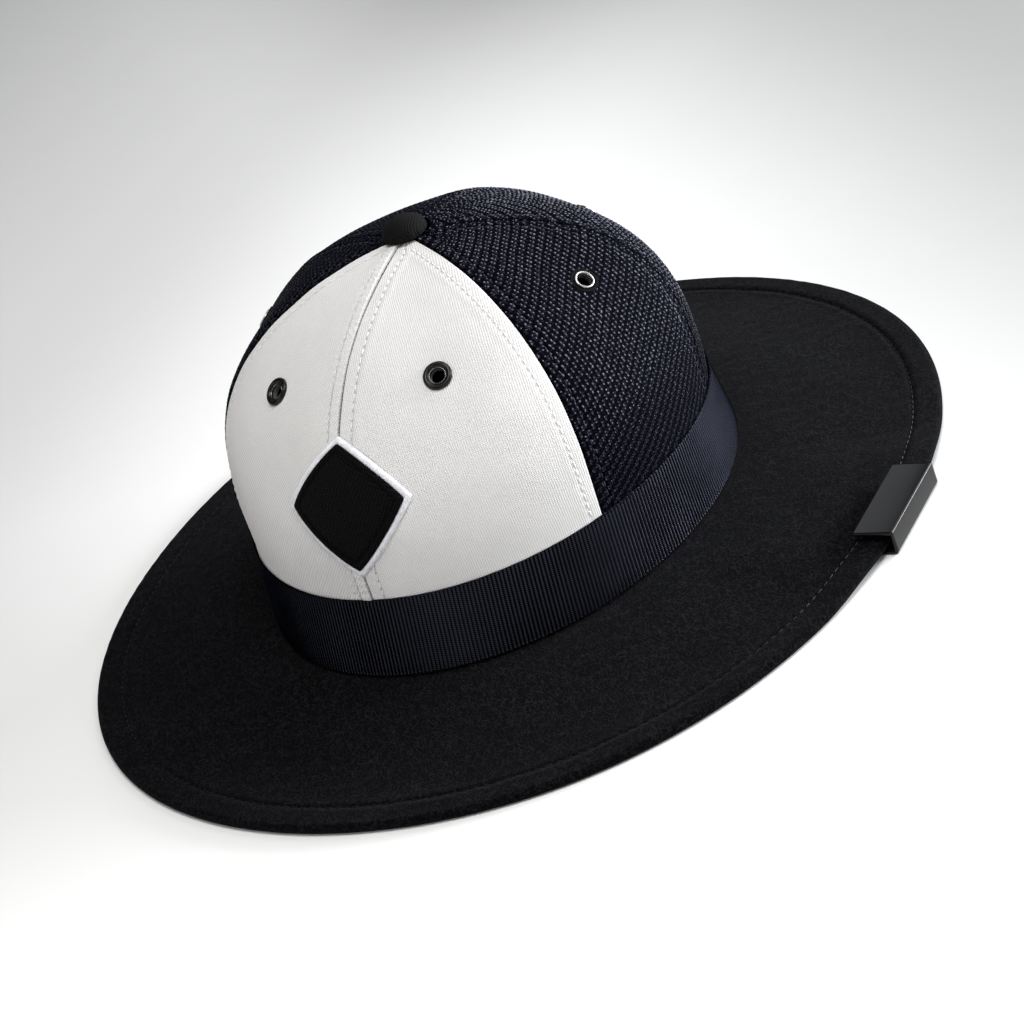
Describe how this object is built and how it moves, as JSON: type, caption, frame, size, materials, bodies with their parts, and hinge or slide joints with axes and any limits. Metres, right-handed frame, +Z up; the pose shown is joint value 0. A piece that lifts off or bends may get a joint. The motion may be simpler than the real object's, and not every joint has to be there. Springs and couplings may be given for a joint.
{
  "type": "wide-brim felt hat with panelled cap crown",
  "caption": "Wide-brim hat: a stiff black felt brim with a hemmed rim, a panelled cap-style crown with eyelets and top button, a ribbed ribbon, a plain badge and a rim clip.",
  "frame": {"origin": "the point on the resting surface under the middle of the brim", "axes": "+Z up through the crown, -Y the way the wearer faces, +X the wearer's left, where the rim clip is"},
  "size_m": [0.3327, 0.3432, 0.129],
  "materials": {
    "brim_felt": "matte wool felt, near black",
    "front_twill": "off-white cotton twill",
    "crown_knit": "dark navy open knit with pale flecks",
    "ribbon": "ribbed ribbon with a soft sheen, near-black navy",
    "button_twill": "black twill over a button",
    "badge_edge": "white embroidery thread",
    "badge_felt": "black felt with a stitched edge",
    "eyelet_enamel": "glossy black enamel",
    "eyelet_metal": "dark gunmetal",
    "clip_metal": "satin dark gunmetal"
  },
  "bodies": {
    "root": {"brim": "brim_felt", "front_panel_left": "front_twill", "front_panel_right": "front_twill", "front_eyelet_left": "eyelet_enamel", "front_eyelet_right": "eyelet_enamel", "side_panel_left": "crown_knit", "side_panel_right": "crown_knit", "side_eyelet_left": "eyelet_metal", "side_eyelet_right": "eyelet_metal", "back_panel_left": "crown_knit", "back_panel_right": "crown_knit", "back_eyelet_left": "eyelet_metal", "back_eyelet_right": "eyelet_metal", "hat_band": "ribbon", "top_button": "button_twill", "badge_border": "badge_edge", "badge_felt": "badge_felt", "brim_clip": "clip_metal"}
  },
  "joints": []
}
